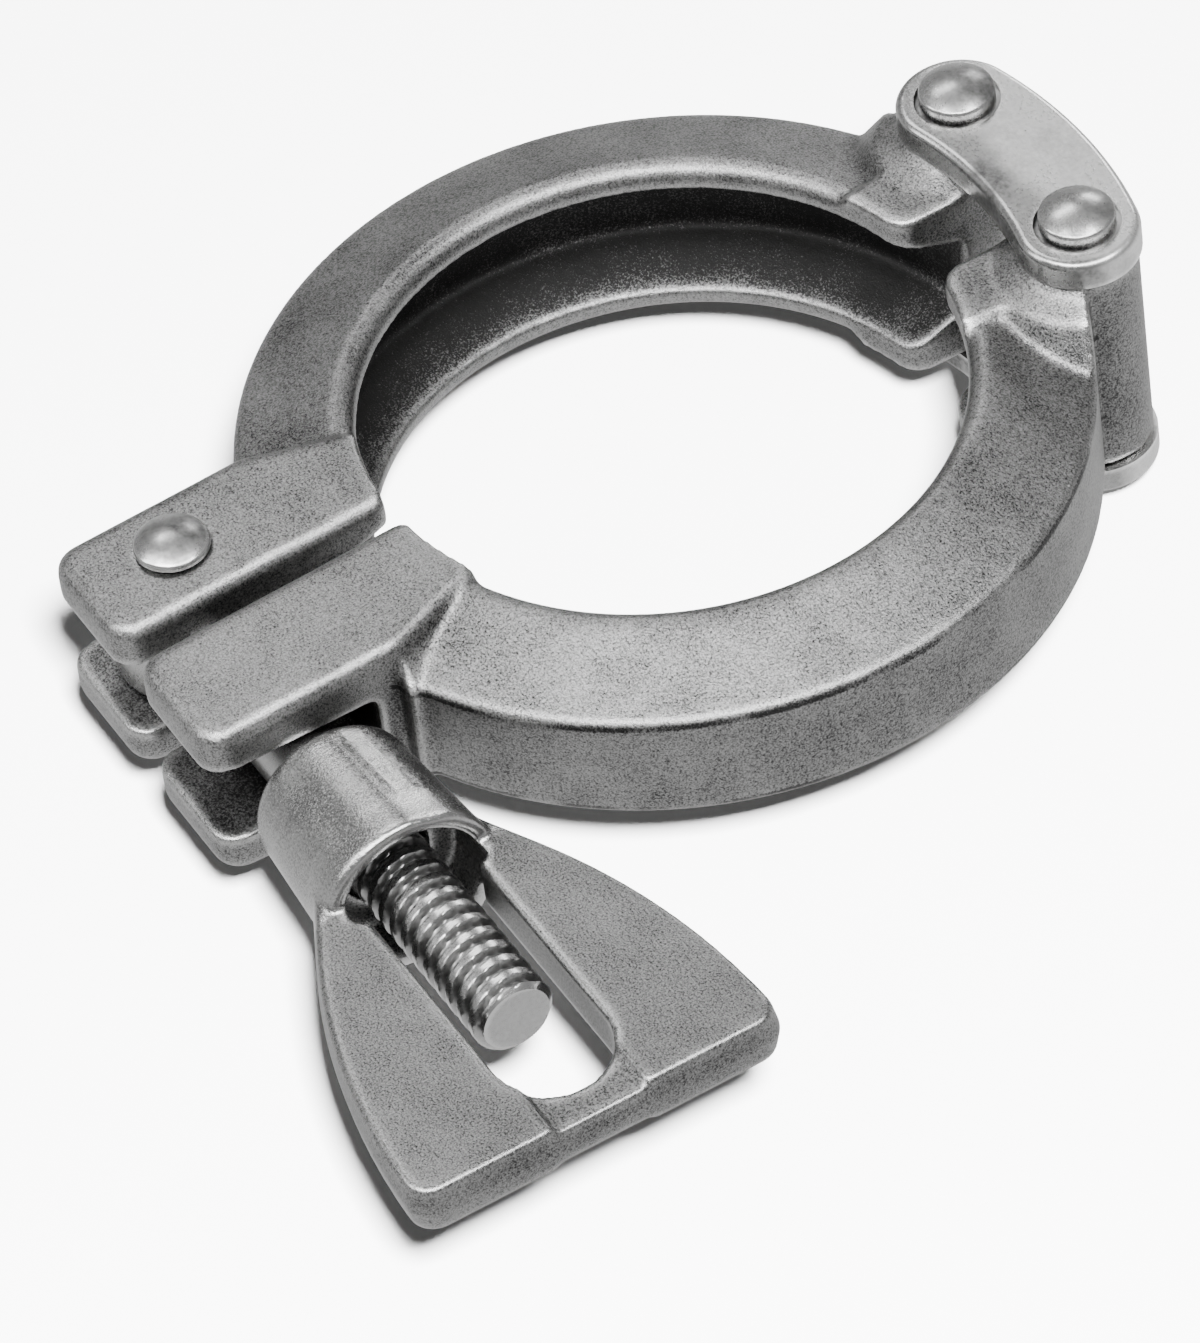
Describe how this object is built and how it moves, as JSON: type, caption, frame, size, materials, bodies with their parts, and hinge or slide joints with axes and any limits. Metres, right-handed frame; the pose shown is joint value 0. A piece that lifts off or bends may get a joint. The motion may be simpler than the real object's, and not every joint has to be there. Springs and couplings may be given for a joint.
{
  "type": "sanitary hinged clamp",
  "caption": "Two cast half rings with a V channel, joined by a link hinge and drawn together by a swing bolt and a slotted wing nut, to hold a pair of pipe ferrules.",
  "frame": {"origin": "centre of the ring, at half of its height", "axes": "+Z along the axis of the ring, +X along the swing bolt towards the wing nut, +Y towards the hinge"},
  "size_m": [0.1083, 0.1131, 0.0348],
  "materials": {
    "cast_steel": "cast and tumbled, fine sandy grain, burnished edges",
    "link_steel": "tumbled smooth",
    "pin_steel": "smooth, riveted",
    "bolt_steel": "turned, coarse thread",
    "nut_steel": "cast and tumbled, fine sandy grain, burnished edges"
  },
  "bodies": {
    "bolt_half": {"half_bolt_side": "cast_steel", "bolt_pin": "pin_steel"},
    "links": {"link_upper": "link_steel", "link_lower": "link_steel", "hinge_pin_bolt_side": "pin_steel", "hinge_pin_nut_side": "pin_steel"},
    "nut_half": {"half_nut_side": "cast_steel"},
    "bolt": {"swing_bolt": "bolt_steel"},
    "nut": {"wing_nut": "nut_steel"}
  },
  "joints": [
    {"name": "bolt_swing", "type": "hinge", "parent": "bolt_half", "child": "bolt", "pos_m": [-0.0084, -0.0472, 0], "axis": [0, 0, 1], "range_deg": [-170, 0]},
    {"name": "nut_travel", "type": "slide", "parent": "bolt", "child": "nut", "axis": [1, 0, 0], "range_m": [-0.0012, 0.026]},
    {"name": "hinge_bolt_side", "type": "hinge", "parent": "bolt_half", "child": "links", "pos_m": [-0.01045, 0.0397, 0], "axis": [0, 0, 1], "range_deg": [-0.4, 8.17]},
    {"name": "hinge_nut_side", "type": "hinge", "parent": "links", "child": "nut_half", "pos_m": [0.01045, 0.0397, 0], "axis": [0, 0, 1], "range_deg": [-0.4, 8.17]}
  ],
  "couplings": [
    {"joint": "hinge_bolt_side", "follows": "nut_travel", "rad_per_m": 5.4661},
    {"joint": "hinge_nut_side", "follows": "nut_travel", "rad_per_m": 5.4661}
  ]
}
